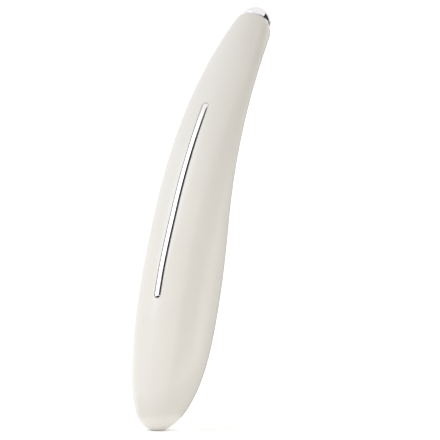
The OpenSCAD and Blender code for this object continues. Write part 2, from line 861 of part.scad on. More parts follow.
// A point near a place on the centreline: x to the side, y behind it and z along it
function near(s, p) =
    let (c = centre(s), q = lean(s))
    [p.x, c.x + p.y * cos(q) + p.z * sin(q), c.y - p.y * sin(q) + p.z * cos(q)];
function unit(v) = v / norm(v);
// A smooth curve through points, with a number of steps between each two
function smooth(p, steps) = concat(
    [for (k = [0:len(p) - 2], i = [0:steps - 1])
        let (b = p[k], c = p[k + 1], l = norm(c - b), t = i / steps,
             m = l * unit(c - p[max(k - 1, 0)]),
             n = l * unit(p[min(k + 2, len(p) - 1)] - b))
        b + m * t + (3 * (c - b) - 2 * m - n) * t * t + (2 * (b - c) + m + n) * t * t * t],
    [p[len(p) - 1]]);
// A lead through points, as wide and thick as the given halves, square to its path at both ends
module lead(points, half = [lead_r, lead_r]) {
    p = smooth(points, 3);
    n = len(p);
    m = len(points);
    loft([for (i = [0:n - 1])
        let (t = unit(i == 0 ? points[1] - points[0]
                      : i == n - 1 ? points[m - 1] - points[m - 2]
                      : p[i + 1] - p[i - 1]),
             x = unit([1, 0, 0] - t.x * t),
             y = cross(t, x))
        [for (a = [22.5:45:337.5]) p[i] + half.x * cos(a) * x + half.y * sin(a) * y]]);
}
// Way from a cell's tab, on whose back the lead lies, to the back of the board
function battery_way(x, from, pass) = concat(
    [for (z = [0, 1.6, 3]) near(cell_mid, [x, cell_d / 2 + 0.5 + lead_side_r, from + z])],
    pass,
    [for (p = [[2.6 * x, board_back + 3, -17.5], [4 * x, board_back + stand, -14.5],
               [4 * x, board_back, -14.5]])
        near(board_at, p)]);
module battery_lead_plus() {
    color([0.70, 0.10, 0.08])
        lead(battery_way(0.8, cell_len / 2 + 0.3, []));
}
module battery_lead_minus() {
    color([0.08, 0.08, 0.09])
        lead(battery_way(-0.8, 4.2 - cell_len / 2,
                         [for (z = [-cell_len / 4, cell_len / 4, cell_len / 2, cell_len / 2 + 3])
                             near(cell_mid, [-0.8, cell_d / 2 + 1.2, z])]));
}
module socket_leads() {
    blade_top = socket_bore_len + 1.05 + 2.6;
    color([0.85, 0.70, 0.15])
        for (x = [-1, 1])
            lead(concat(
                [[x * 1.5, 0, blade_top], [x * 1.5, 0, blade_top + 0.5]],
                [for (z = [chassis_from - cell_mid - 0.5, chassis_from - cell_mid + 1.5, 0,
                           top_rib_at - cell_mid, top_rib_at - cell_mid + 2])
                    near(cell_mid, [x * lead_side, -lead_front, z])],
                [for (p = [[3.8, -1.2, -16], [4, board_back - board_t - stand, -14.5],
                           [4, board_back - board_t, -14.5]])
                    near(board_at, [x * p.x, p.y, p.z])]));
}
module strip_lead() {
    from = -half_d(slot_at) + wall + 1.05;
    color([0.85, 0.70, 0.15])
        lead(concat(
            [near(slot_at, [0, from, 1.5]), near(slot_at, [0, from + stand, 1.5])],
            [for (p = [[-2.6, -3, -8.5], [-4, board_back - board_t - stand, -6.5],
                       [-4, board_back - board_t, -6.5]])
                near(board_at, p)]));
}
module motor_leads() {
    color([0.15, 0.30, 0.65])
        for (x = [-1, 1])
            lead(concat(
                [for (z = [0, -1.5]) near(motor_at, [x * 1.5, 0, z - motor_len / 2])],
                [for (p = [[1.5, 1, 1.5], [2.1, 1.5, -3.5], [2.2, stand, -5.8], [2.2, 0, -5.8]])
                    near(board_at, [x * p.x, board_back + p.y, board_len / 2 + p.z])]));
}
// Way from inside the dome's neck, past the motor and to the back of the board
function head_way(x, from) = concat(
    [near(shell_len, from), near(shell_len, [from.x, from.y, from.z - 1.2])],
    [near(shell_len - carrier_below_rim, [x * 1.1, 0.2, 0]),
     near(shell_len - carrier_below_rim, [x * 1.5, 0.8, -3.2])],
    [for (z = [motor_len / 2 + 6.5, 2, -motor_len / 2 - 1])
        near(motor_at, [x * head_side, head_behind, z])],
    [for (p = [[head_side, 1, 0.5], [4.2, stand, -6.5], [4.2, 0, -6.5]])
        near(board_at, [x * p.x, board_back + p.y, board_len / 2 + p.z])]);
module heater_lead() {
    color([0.92, 0.92, 0.90])
        lead(head_way(-1, [-1.1, 0, ring_h + 0.9]), heater_twin);
}
module sensor_lead() {
    color([0.92, 0.92, 0.90])
        lead(head_way(1, [0.8, 0, ring_h - 2]), sensor_twin);
}

body_shell();
back_cover();
base_cap();
trim_strip();
massage_head();
insulating_ring();
power_button();
button_seal();
light_pipe();
charge_socket();
socket_contact();
chassis();
battery_cell();
battery_tab_top();
battery_tab_bottom();
battery_pads();
circuit_board();
tact_switch();
switch_plunger();
control_chip();
charging_coil();
board_parts();
status_led();
board_screws();
head_carrier();
motor_sleeve();
motor_case();
motor_magnet();
motor_end_cap();
motor_rotor();
motor_shaft();
eccentric_weight();
heater_plate();
thermal_pad();
temperature_sensor();
strip_terminal();
battery_lead_plus();
battery_lead_minus();
socket_leads();
strip_lead();
motor_leads();
heater_lead();
sensor_lead();
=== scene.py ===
"""Looks of the heated eye massager wand. Lengths in the formulas are millimetres, meshes are metres."""
import math
from functools import lru_cache

import bmesh
import bpy
from mathutils import Matrix, Vector


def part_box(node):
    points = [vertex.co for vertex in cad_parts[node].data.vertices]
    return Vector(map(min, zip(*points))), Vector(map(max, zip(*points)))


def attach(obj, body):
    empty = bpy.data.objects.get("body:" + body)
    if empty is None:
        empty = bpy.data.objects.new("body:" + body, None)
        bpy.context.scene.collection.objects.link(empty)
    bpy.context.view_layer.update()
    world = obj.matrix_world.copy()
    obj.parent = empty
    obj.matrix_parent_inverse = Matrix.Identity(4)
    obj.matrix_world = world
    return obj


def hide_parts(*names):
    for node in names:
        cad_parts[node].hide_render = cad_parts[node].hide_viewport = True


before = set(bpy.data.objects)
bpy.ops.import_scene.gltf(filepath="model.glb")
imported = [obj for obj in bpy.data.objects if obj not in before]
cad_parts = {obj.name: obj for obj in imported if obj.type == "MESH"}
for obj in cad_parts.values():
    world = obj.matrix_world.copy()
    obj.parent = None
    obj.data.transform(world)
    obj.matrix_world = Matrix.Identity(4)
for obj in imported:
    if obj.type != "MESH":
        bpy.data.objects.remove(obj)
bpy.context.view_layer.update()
MM = 0.001
# A wave texture repeats after this much of its own scaled length
WAVE_REPEAT = math.pi / 10

# ---- Driving sizes, as the frame was built ----

SHELL_LEN = 143.0
BELLY_W = (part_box("body_shell")[1].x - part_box("body_shell")[0].x) / MM
BELLY_D = 26.4
BELLY_AT = 44.5
FULLNESS = 2.5
WALL = 1.6
LOWER_LEAN = 16.5
TIP_LEAN = 45.5
BEND_START = 69.5
TIP_STRAIGHT = 7.5
RIM_D = 12.0
WIDTH_HOLD = 29.5
NECK_W = 21.4
NECK_W_BELOW = 20.0
DEPTH_HOLD = 20.0
NECK_D = 12.2
NECK_D_BELOW = 58.0
FOOT_D = 8.6
FOOT_H = 1.2
FOOT_FORWARD = 1.0
FOOT_BLEND = 25.0
STRIP_START = 39.5
STRIP_LEN = 66.2
STRIP_W = 2.3
STRIP_PROUD = 0.2
GROOVE_DEPTH = 0.8
COVER_START = 17.0
COVER_END = SHELL_LEN - 17.5
COVER_ANGLE = 50.0
COVER_ROUND = 11.0
SEAM = 0.15
KEY_AT = 84.0
KEY_W = 6.4
KEY_LEN = 11.0
KEY_PROUD = 0.45
KEY_GAP = 0.2
WINDOW_D = 2.0
WINDOW_ABOVE = 11.0
DOME_D = 9.9
DOME_H = 4.9
SKIRT_H = 0.35
RING_H = 0.4
DOME_NECK_D = 6.0
SOCKET_BORE_D = 2.56
SOCKET_BORE_LEN = 9.0
SOCKET_D = 5.2
FIT = 0.1
SPIGOT_R = 3.5
SPIGOT_H = 3.2
# The rim is drawn rounder than in the frame, as the photograph shows it
RIM_ROUND_LEN = 3.0
RIM_ROUND = 1.0
BEND_END = SHELL_LEN - TIP_STRAIGHT
BEND_R = (BEND_END - BEND_START) / math.radians(TIP_LEAN - LOWER_LEAN)


# ---- The wand's form ----

def lean(s):
    """Lean of the centreline in degrees, back from upright."""
    if s < BEND_START:
        return LOWER_LEAN
    return min(LOWER_LEAN + math.degrees((s - BEND_START) / BEND_R), TIP_LEAN)


def centre(s):
    """(y, z) of the centreline: a straight, an arc and a straight, drawn forward at the foot."""
    low, high = min(s, BEND_START), max(s - BEND_END, 0)
    first, here = math.radians(LOWER_LEAN), math.radians(lean(s))
    forward = FOOT_FORWARD * (1 - max(1 - s / FOOT_BLEND, 0) ** 2)
    y = low * math.sin(first) + BEND_R * (math.cos(first) - math.cos(here)) + high * math.sin(here)
    z = low * math.cos(first) + BEND_R * (math.sin(here) - math.sin(first)) + high * math.cos(here)
    return y + forward, z + FOOT_H


def bezier(t, a, b, c, d):
    return (1 - t) ** 3 * a + 3 * (1 - t) ** 2 * t * b + 3 * (1 - t) * t * t * c + t ** 3 * d


def flank(s, half, hold, neck, below):
    """Half of a width or depth: a full curve below the widest place, a long taper above it."""
    if s < BELLY_AT:
        reach = BELLY_AT / (1 - (FOOT_D / 2 / half) ** FULLNESS) ** (1 / FULLNESS)
        return half * (1 - ((BELLY_AT - s) / reach) ** FULLNESS) ** (1 / FULLNESS)
    low, high = 0.0, 1.0
    for _ in range(24):
        t = (low + high) / 2
        if bezier(t, BELLY_AT, BELLY_AT + hold, SHELL_LEN - below, SHELL_LEN) < s:
            low = t
        else:
            high = t
    return bezier(low, half, half, neck / 2, RIM_D / 2)


@lru_cache(maxsize=None)
def half_w(s):
    return flank(s, BELLY_W / 2, WIDTH_HOLD, NECK_W, NECK_W_BELOW)


@lru_cache(maxsize=None)
def half_d(s):
    return flank(s, BELLY_D / 2, DEPTH_HOLD, NECK_D, NECK_D_BELOW)


def slant(half, s):
    """How much longer a wall is across the wand than through itself, where the flank slopes."""
    low, high = max(s - 0.2, 0), min(s + 0.2, SHELL_LEN)
    return math.hypot(1, (half(high) - half(low)) / (high - low))


@lru_cache(maxsize=None)
def section(s):
    """One cross-section: centre, tilt, half width and depth, their slants and the rim's rounding."""
    y, z = centre(s)
    tilt = math.radians(lean(s) * min(s / FOOT_BLEND, 1))
    near_rim = min(max((s - SHELL_LEN + RIM_ROUND_LEN) / RIM_ROUND_LEN, 0), 1)
    drawn_in = RIM_ROUND * (1 - math.sqrt(1 - near_rim ** 2))
    return y, z, tilt, half_w(s), half_d(s), slant(half_w, s), slant(half_d, s), drawn_in


def skin(s, angle, depth=0.0):
    """A point of the wand, in metres, at a distance along it and an angle from its front."""
    y, z, tilt, w, d, slant_w, slant_d, drawn_in = section(s)
    drawn_in = 0 if depth >= WALL / 2 else drawn_in
    least = SPIGOT_R + FIT + centre(min(s, SPIGOT_H))[0] if depth >= WALL and s < BELLY_AT else 0
    a = math.radians(angle)
    across = max(w - drawn_in - depth * slant_w, least) * math.sin(a)
    back = -max(d - drawn_in - depth * slant_d, least) * math.cos(a)
    return Vector((across, y + back * math.cos(tilt), z - back * math.sin(tilt))) * MM


def on_line(s):
    """Moves a piece on the centreline: its Z runs along the wand and its Y points to the back."""
    y, z = centre(s)
    return Matrix.Translation((0, y * MM, z * MM)) @ Matrix.Rotation(-math.radians(lean(s)), 4, "X")


# ---- Mesh tools ----

def piece(name, points, faces, body, material, replaces=(), sharp=40):
    """A smooth-shaded mesh that rides on a body and stands for the nodes it replaces."""
    mesh = bpy.data.meshes.new(name)
    mesh.from_pydata([tuple(p) for p in points], [], faces)
    work = bmesh.new()
    work.from_mesh(mesh)
    bmesh.ops.remove_doubles(work, verts=work.verts, dist=0.001 * MM)
    bmesh.ops.recalc_face_normals(work, faces=work.faces)
    work.to_mesh(mesh)
    work.free()
    mesh.validate()
    mesh.polygons.foreach_set("use_smooth", [True] * len(mesh.polygons))
    mesh.set_sharp_from_angle(angle=math.radians(sharp))
    mesh.materials.append(material)
    obj = bpy.data.objects.new(name, mesh)
    bpy.context.scene.collection.objects.link(obj)
    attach(obj, body)
    if replaces:
        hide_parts(*replaces)
    return obj


def turned(name, profile, place, body, material, replaces=(), sides=96):
    """A turned piece: its profile is a closed list of (radius, height), and radius 0 closes it."""
    points, faces, rings = [], [], []
    for r, z in profile:
        count = sides if r > 0 else 1
        rings.append([len(points) + k for k in range(count)])
        points += [place @ Vector((r * math.cos(2 * math.pi * k / count) * MM,
                                   r * math.sin(2 * math.pi * k / count) * MM, z * MM))
                   for k in range(count)]
    for low, high in zip(rings, rings[1:] + rings[:1]):
        for k in range(sides):
            quad = [low[k % len(low)], low[(k + 1) % len(low)],
                    high[(k + 1) % len(high)], high[k % len(high)]]
            quad = [n for i, n in enumerate(quad) if n != quad[i - 1]]
            if len(quad) > 2:
                faces.append(quad)
    return piece(name, points, faces, body, material, replaces)


def arc(centre_r, centre_z, radius, start, end, steps=6):
    """Points of an arc in a profile, angles in degrees from outward."""
    angles = [math.radians(start + (end - start) * k / steps) for k in range(steps + 1)]
    return [(centre_r + radius * math.cos(a), centre_z + radius * math.sin(a)) for a in angles]


def spread(start, end, step):
    """Evenly spaced values from start to end, about a step apart."""
    count = max(round((end - start) / step), 1)
    return [start + (end - start) * k / count for k in range(count + 1)]


def filled(*lists, step=1.5):
    """One sorted list with every value that is given, and others about a step apart between them."""
    keys = sorted({round(v, 4) for values in lists for v in values})
    return [v for low, high in zip(keys, keys[1:]) for v in spread(low, high, step)[:-1]] + [keys[-1]]


def within(values, low, high):
    return [v for v in values if low - 1e-3 < v < high + 1e-3]


class Skin:
    """Gathers faces between places on the wand: (distance along it, angle from its front, depth)."""

    def __init__(self):
        self.numbers = {}
        self.points = []
        self.faces = []

    def at(self, place):
        s, angle, depth = place
        key = round(s, 3), round(angle % 360, 3) % 360, round(depth, 3)
        if key not in self.numbers:
            self.numbers[key] = len(self.points)
            self.points.append(skin(s, angle, depth))
        return self.numbers[key]

    def face(self, *corners):
        numbers = [self.at(c) for c in corners]
        numbers = [n for k, n in enumerate(numbers) if n != numbers[k - 1]]
        if len(set(numbers)) > 2:
            self.faces.append(numbers)

    def bands(self, *loops):
        """Quads between closed loops of as many places, one after another."""
        for low, high in zip(loops, loops[1:]):
            for k in range(len(low)):
                self.face(low[k - 1], low[k], high[k], high[k - 1])

    def grid(self, rows, columns, depth, holes=()):
        """Quads over rows and columns, left out where a hole's block lies."""
        for low, high in zip(rows, rows[1:]):
            for left, right in zip(columns, columns[1:]):
                if not any(h.covers((low + high) / 2, (left + right) / 2) for h in holes):
                    self.face((low, left, depth), (low, right, depth),
                              (high, right, depth), (high, left, depth))


class Outline:
    """A rounded outline on the skin inside or round a block of a grid's rows and columns.

    Across the wand it is measured in degrees round it, or as flat in millimetres beside its middle."""

    def __init__(self, middle, half, corner, rows, columns, flat=True):
        self.middle, self.half, self.corner, self.flat = middle, half, corner, flat
        self.rows = list(rows)
        self.columns = list(columns)
        self.face_angle = (self.columns[0] + self.columns[-1]) / 2

    def covers(self, s, angle):
        turn = (angle - self.face_angle + 180) % 360 - 180
        reach = (self.columns[-1] - self.columns[0]) / 2
        return self.rows[0] < s < self.rows[-1] and abs(turn) < reach

    def border(self, depth=0.0):
        """The places round the block, in order."""
        r, c = self.rows, self.columns
        round_it = ([(r[0], a) for a in c[:-1]] + [(s, c[-1]) for s in r[:-1]]
                    + [(r[-1], a) for a in c[:0:-1]] + [(s, c[0]) for s in r[:0:-1]])
        return [(s, a, depth) for s, a in round_it]

    def side(self, s, angle):
        turn = angle - self.face_angle
        return half_w(s) * math.sin(math.radians(turn)) if self.flat else turn

    def angle(self, s, side):
        turn = math.degrees(math.asin(side / half_w(s))) if self.flat else side
        return self.face_angle + turn

    def loop(self, out=0.0, depth=0.0):
        """The outline, drawn out by a distance, as one place for each place of the border."""
        places = []
        core = self.half[0] - self.corner[0], self.half[1] - self.corner[1]
        for s, a, _ in self.border():
            along, side = s - self.middle, self.side(s, a)
            grow = out * (1 if self.flat else math.degrees(1 / half_w(s)))
            block = self.rows[-1] - self.middle, abs(self.side(s, self.columns[-1]))
            over = [max(v - c, 0) / (b - c) for v, c, b in zip((abs(along), abs(side)), core, block)]
            turn = math.atan2(over[1], over[0])
            far = abs(along), abs(side)
            if over[0] > 0 and over[1] > 0:
                far = (core[0] + max(self.corner[0] + out, 0) * math.cos(turn),
                       core[1] + max(self.corner[1] + grow, 0) * math.sin(turn))
            elif over[0] > 0:
                far = self.half[0] + out, abs(side)
            else:
                far = abs(along), self.half[1] + grow
            to_s = self.middle + math.copysign(far[0], along)
            places.append((to_s, self.angle(to_s, math.copysign(far[1], side)), depth))
        return places

    def edge(self, out, radius, depth=0.0, outward=True, steps=4):
        """Loops of a rounded edge: from flat skin at out, round and down to the upright wall."""
        sign = 1 if outward else -1
        turns = [math.radians(90 * k / steps) for k in range(steps + 1)]
        return [self.loop(out + sign * radius * (1 - math.sin(t)), depth + radius * (1 - math.cos(t)))
                for t in turns]


# ---- Finish tools ----

def colour(code):
    """sRGB hex to linear RGBA."""
    levels = [int(code[k:k + 2], 16) / 255 for k in (0, 2, 4)]
    return [v / 12.92 if v < 0.04045 else ((v + 0.055) / 1.055) ** 2.4 for v in levels] + [1.0]


def add(tree, kind, inputs, **settings):
    """A node with its settings, and its inputs set to values or linked from other nodes' outputs."""
    node = tree.nodes.new(kind)
    for name, value in settings.items():
        setattr(node, name, value)
    for name, value in inputs.items():
        if isinstance(value, bpy.types.NodeSocket):
            tree.links.new(value, node.inputs[name])
        else:
            node.inputs[name].default_value = value
    return node


def per_mm(size):
    """Texture scale for a pattern whose repeat is that many millimetres."""
    return 1 / (size * MM)


def finish_of(name, base, dark, patch, rough, grain, bump, mark=None, lines=0, cells=0, share=0.5,
              across=0, **constants):
    """A material whose colour drifts between two tones over a patch, whose roughness varies by a
    grain, and whose surface rises and falls by a bump: (millimetres across, millimetres high).
    A mark is a third colour, in lines across the wand's axis at a place, or in cells: both are
    millimetres apart, and a larger share gives them more of the surface."""
    material = bpy.data.materials.new(name)
    material.use_nodes = True
    tree = material.node_tree
    shader = tree.nodes["Principled BSDF"]
    place = add(tree, "ShaderNodeTexCoord", {}).outputs["Object"]
    drift = add(tree, "ShaderNodeTexNoise", {"Vector": place, "Scale": per_mm(patch), "Detail": 2.0})
    tone = add(tree, "ShaderNodeMix", {"Factor": drift.outputs["Fac"], "A": colour(dark), "B": colour(base)},
               data_type="RGBA")
    fine = add(tree, "ShaderNodeTexNoise", {"Vector": place, "Scale": per_mm(grain), "Detail": 3.0})
    gloss = add(tree, "ShaderNodeMapRange",
                {"Value": fine.outputs["Fac"], "From Min": 0.3, "From Max": 0.7,
                 "To Min": rough[0], "To Max": rough[1]})
    wave = add(tree, "ShaderNodeTexNoise", {"Vector": place, "Scale": per_mm(bump[0]), "Detail": 1.5})
    height = wave.outputs["Fac"]
    if mark:
        upright = add(tree, "ShaderNodeMapping",
                      {"Vector": place, "Rotation": (math.radians(lean(across)), 0, 0)}).outputs["Vector"]
        if lines:
            form = add(tree, "ShaderNodeTexWave", {"Vector": upright, "Scale": WAVE_REPEAT * per_mm(lines)},
                       bands_direction="Z").outputs["Fac"]
        else:
            form = add(tree, "ShaderNodeTexVoronoi",
                       {"Vector": upright, "Scale": per_mm(cells)}).outputs["Distance"]
        marked = add(tree, "ShaderNodeMapRange",
                     {"Value": form, "From Min": share - 0.1, "From Max": share + 0.1,
                      "To Min": 1.0, "To Max": 0.0})
        tone = add(tree, "ShaderNodeMix", {"Factor": marked.outputs["Result"],
                                           "A": tone.outputs["Result"], "B": colour(mark)}, data_type="RGBA")
        height = add(tree, "ShaderNodeMath", {0: height, 1: marked.outputs["Result"]},
                     operation="ADD").outputs["Value"]
    relief = add(tree, "ShaderNodeBump", {"Height": height, "Strength": 1.0, "Distance": bump[1] * MM})
    tree.links.new(tone.outputs["Result"], shader.inputs["Base Color"])
    tree.links.new(gloss.outputs["Result"], shader.inputs["Roughness"])
    tree.links.new(relief.outputs["Normal"], shader.inputs["Normal"])
    for key, value in constants.items():
        shader.inputs[key.replace("_", " ")].default_value = value
    return material


# ---- Finishes that show ----

# Pearl lacquer on moulded ABS, sprayed: a warm ivory with a soft sheen under a glossy clear coat,
# and a faint orange peel. The real mica grains are too fine to show, so the grain is drawn coarser.
pearl_lacquer = finish_of("pearl_lacquer", "DFDAD0", "D9D4C9", patch=25, rough=(0.27, 0.37), grain=0.35,
                          bump=(1.8, 0.0012), IOR=1.5, Coat_Weight=0.4, Coat_Roughness=0.09)

# Bright chrome, plated on polished ABS and on the metal dome: a cold mirror with the slight waves
# of its ground, which bend what it mirrors a little.
bright_chrome = finish_of("bright_chrome", "F3F1F1", "EDEBEC", patch=9, rough=(0.035, 0.075), grain=0.8,
                          bump=(4, 0.0008), Metallic=1.0)

# White heat-proof plastic, injection moulded: dull and dense, a shade cooler than the shell.
heatproof_plastic = finish_of("heatproof_plastic", "F1F1EF", "E7E7E5", patch=3, rough=(0.38, 0.5), grain=0.3,
                              bump=(0.4, 0.001), IOR=1.5)

# Clear acrylic, turned and polished: it bends the light that falls in and looks faintly blue.
clear_acrylic = finish_of("clear_acrylic", "F4F8FA", "EAF1F5", patch=1, rough=(0.04, 0.1), grain=0.4,
                          bump=(1, 0.0004), IOR=1.49, Transmission_Weight=0.85)

# Nickel plate on turned brass: bright and a little warm, with the fine grain that the tool leaves.
nickel_plate = finish_of("nickel_plate", "CFCAC0", "BFB9AE", patch=2, rough=(0.16, 0.3), grain=0.12,
                         bump=(0.15, 0.001), Metallic=1.0)


# ---- Finishes of the pieces inside ----

INNER = {
    # Spring brass, stamped and gold plated: warm and bright, and never quite even.
    "socket_contact": finish_of("gold_contact", "D9B45A", "C79F48", patch=1.5, rough=(0.2, 0.32), grain=0.2,
                                bump=(0.3, 0.001), Metallic=1.0),
    # Light grey ABS from a spark-finished mould: even and dull, with a fine grain.
    "chassis": finish_of("moulded_abs", "D4D6D8", "C8CBCE", patch=12, rough=(0.45, 0.62), grain=0.3,
                         bump=(0.25, 0.004), IOR=1.53),
    "head_carrier": finish_of("moulded_abs_neck", "D4D6D8", "C8CBCE", patch=8, rough=(0.45, 0.62), grain=0.3,
                              bump=(0.25, 0.004), IOR=1.53),
    # Blue heat-shrunk film over the cell's can: glossy, a little uneven where it has drawn tight.
    "battery_cell": finish_of("shrunk_film", "2F57A0", "274A8C", patch=7, rough=(0.16, 0.3), grain=1.2,
                              bump=(2.5, 0.02), IOR=1.55, Coat_Weight=0.3),
    # Nickel strip, rolled and spot welded: grey and soft in its shine, with faint lines of the roll.
    "battery_tab_top": finish_of("nickel_strip", "BDB9B1", "ACA8A0", patch=2, rough=(0.25, 0.4), grain=0.2,
                                 bump=(0.3, 0.001), mark="A5A199", lines=0.3, share=0.2, across=37.5,
                                 Metallic=1.0),
    # Black foam, cut from sheet: dull and open, its pores drawn twice as wide as they are.
    "battery_pads": finish_of("cut_foam", "2B2B2C", "202021", patch=2, rough=(0.85, 0.95), grain=0.3,
                              bump=(0.3, 0.03), mark="0E0E0F", cells=0.35, share=0.25),
    # Green solder mask on glass laminate: glossy, and lighter over the copper tracks beneath it.
    "circuit_board": finish_of("solder_mask", "1F6B3E", "195A34", patch=5, rough=(0.22, 0.36), grain=0.4,
                               bump=(0.5, 0.004), mark="257445", lines=1.3, share=0.25, across=84, IOR=1.55),
    # Dark glass-filled plastic of the switch: dull, with fine pale specks where its fibres end.
    "tact_switch": finish_of("filled_plastic", "3A3A3C", "303032", patch=1.5, rough=(0.5, 0.65), grain=0.2,
                             bump=(0.2, 0.003), mark="464648", cells=0.25, share=0.15),
    # Black acetal plunger: smooth and waxy.
    "switch_plunger": finish_of("black_acetal", "1C1C1D", "151516", patch=0.8, rough=(0.3, 0.42), grain=0.2,
                                bump=(0.3, 0.001), IOR=1.48),
    # Black moulding resin of the chip: matt and finely pitted, with nothing printed on it.
    "control_chip": finish_of("chip_resin", "222224", "1A1A1C", patch=1.2, rough=(0.55, 0.7), grain=0.15,
                              bump=(0.12, 0.004), IOR=1.5),
    # Pressed and fired ferrite round the coil: dark, with a dull metallic grain.
    "charging_coil": finish_of("fired_ferrite", "4A4744", "3C3A38", patch=1, rough=(0.45, 0.6), grain=0.2,
                               bump=(0.15, 0.006), mark="57534F", cells=0.2, share=0.2, Metallic=0.25),
    # Fired ceramic with tinned ends: tan and stony.
    "board_parts": finish_of("fired_ceramic", "C2A77E", "B0956D", patch=0.8, rough=(0.4, 0.55), grain=0.15,
                             bump=(0.15, 0.003), IOR=1.6),
    # White resin of the status light, with the yellow of its phosphor showing through.
    "status_led": finish_of("led_resin", "F7EFC9", "EFE3B0", patch=0.6, rough=(0.25, 0.38), grain=0.2,
                            bump=(0.3, 0.002), IOR=1.5),
    # Zinc plated steel screws: pale, slightly blue and cloudy.
    "board_screws": finish_of("zinc_plate", "C3C6CA", "B0B4B9", patch=0.7, rough=(0.25, 0.42), grain=0.2,
                              bump=(0.2, 0.003), Metallic=1.0),
    # Black rubber sleeve, moulded: dull with a powdery bloom.
    "motor_sleeve": finish_of("black_rubber", "262627", "1D1D1E", patch=2, rough=(0.65, 0.82), grain=0.3,
                              bump=(0.4, 0.006), IOR=1.5),
    # Deep-drawn steel can, nickel plated: bright, with faint rings of the drawing.
    "motor_case": finish_of("drawn_steel", "B9BABC", "A6A8AA", patch=3, rough=(0.18, 0.32), grain=0.2,
                            bump=(0.4, 0.002), mark="9EA0A3", lines=0.4, share=0.15, across=118,
                            Metallic=1.0),
    # Ground steel shaft: bright and fine.
    "motor_shaft": finish_of("ground_steel", "C6C7C9", "B4B6B8", patch=1, rough=(0.12, 0.24), grain=0.15,
                             bump=(0.15, 0.001), mark="A9ABAE", lines=0.15, share=0.2, across=118,
                             Metallic=1.0),
    # Sintered magnet: dark grey and finely grained.
    "motor_magnet": finish_of("sintered_magnet", "4E4D50", "403F42", patch=1.5, rough=(0.4, 0.6), grain=0.2,
                              bump=(0.2, 0.006), mark="5E5D61", cells=0.2, share=0.2, Metallic=0.6),
    # Dark nylon end cap of the motor: smooth with a soft sheen.
    "motor_end_cap": finish_of("dark_nylon", "353537", "2B2B2D", patch=1.5, rough=(0.4, 0.55), grain=0.2,
                               bump=(0.25, 0.003), IOR=1.53),
    # Enamelled copper wire, wound in turns: red-brown and shiny, its turns drawn three times as wide.
    "motor_rotor": finish_of("copper_winding", "B96A3A", "A45A2F", patch=2, rough=(0.2, 0.34), grain=0.2,
                             bump=(0.25, 0.03), mark="6E371B", lines=0.25, share=0.25, across=118,
                             Metallic=0.9),
    # Sintered tungsten alloy: heavy, grey-brown and a little grainy.
    "eccentric_weight": finish_of("tungsten_alloy", "8E887C", "7C776C", patch=1.2, rough=(0.35, 0.5),
                                  grain=0.2, bump=(0.2, 0.006), mark="9D978A", cells=0.25, share=0.2,
                                  Metallic=0.9),
    # Heater of copper tracks between amber films: the tracks show as close bright lines.
    "heater_plate": finish_of("heater_film", "C97A2C", "B86A22", patch=1.5, rough=(0.25, 0.4), grain=0.2,
                              bump=(0.3, 0.004), mark="E0A06A", lines=0.7, share=0.45, across=90),
    # Soft gap pad, filled with ceramic powder: pale grey-blue and dull, with fine specks.
    "thermal_pad": finish_of("gap_pad", "9FB0C2", "8EA0B3", patch=1, rough=(0.6, 0.78), grain=0.2,
                             bump=(0.25, 0.006), mark="B9C6D4", cells=0.25, share=0.2),
    # Glazed bead of the temperature sensor: nearly black, and glossy where the glaze has run.
    "temperature_sensor": finish_of("glazed_bead", "262324", "1B191A", patch=0.6, rough=(0.1, 0.25),
                                    grain=0.3, bump=(0.4, 0.008), IOR=1.55, Coat_Weight=0.6),
    # Soft silicone, moulded: a pale, matt, slightly dusty ring round the key's stem.
    "button_seal": finish_of("moulded_silicone", "C4C4C0", "B9B9B4", patch=2, rough=(0.55, 0.7), grain=0.3,
                             bump=(0.5, 0.002), IOR=1.41),
}
for twin, like in (("battery_tab_bottom", "battery_tab_top"), ("strip_terminal", "battery_tab_top")):
    INNER[twin] = INNER[like]
# Extruded silicone insulation: smooth and waxy, and its colour tells which lead it is.
for node, base, dark in (("battery_lead_plus", "B5231B", "A01C15"),
                         ("battery_lead_minus", "1D1D1F", "151517"),
                         ("socket_leads", "D8B02C", "C89F22"), ("strip_lead", "D8B02C", "C89F22"),
                         ("motor_leads", "2A4F9E", "22428A"), ("heater_lead", "EDEDE9", "E1E1DC"),
                         ("sensor_lead", "E4E4DF", "D7D7D1")):
    INNER[node] = finish_of("insulation_of_" + node, base, dark, patch=6, rough=(0.38, 0.5), grain=0.4,
                            bump=(1.0, 0.004), IOR=1.41)


def dress_inner():
    """Gives each carried-over node its finish, on its own slots."""
    for name, material in INNER.items():
        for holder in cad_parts[name].material_slots:
            holder.material = material


# ---- Rows, columns and outlines on the skin ----

COLUMN = 3.75
ROUND_COLUMNS = [COLUMN * k for k in range(97)]
LIP = 0.12
EASE = 0.3
STRIP_END = STRIP_START + STRIP_LEN
GROOVE_HALF = STRIP_W / 2 + FIT
STRIP_BLOCK = STRIP_START - 0.9, STRIP_END + 0.9
# The strip's face is drawn a little prouder than in the frame, so that its bevel shows
STRIP_TOP = STRIP_PROUD + 0.1
COVER_BLOCK = COVER_START - 1.2, COVER_END + 1.2
# The back is inside the bend, where a length along the wand is shorter than on its centreline
BACK_STRETCH = BEND_R / (BEND_R - half_d(KEY_AT))
KEY_BLOCK = KEY_AT - 7.1, KEY_AT + 7.1
WINDOW_AT = KEY_AT + WINDOW_ABOVE * BACK_STRETCH
WINDOW_BLOCK = WINDOW_AT - 2, WINDOW_AT + 2

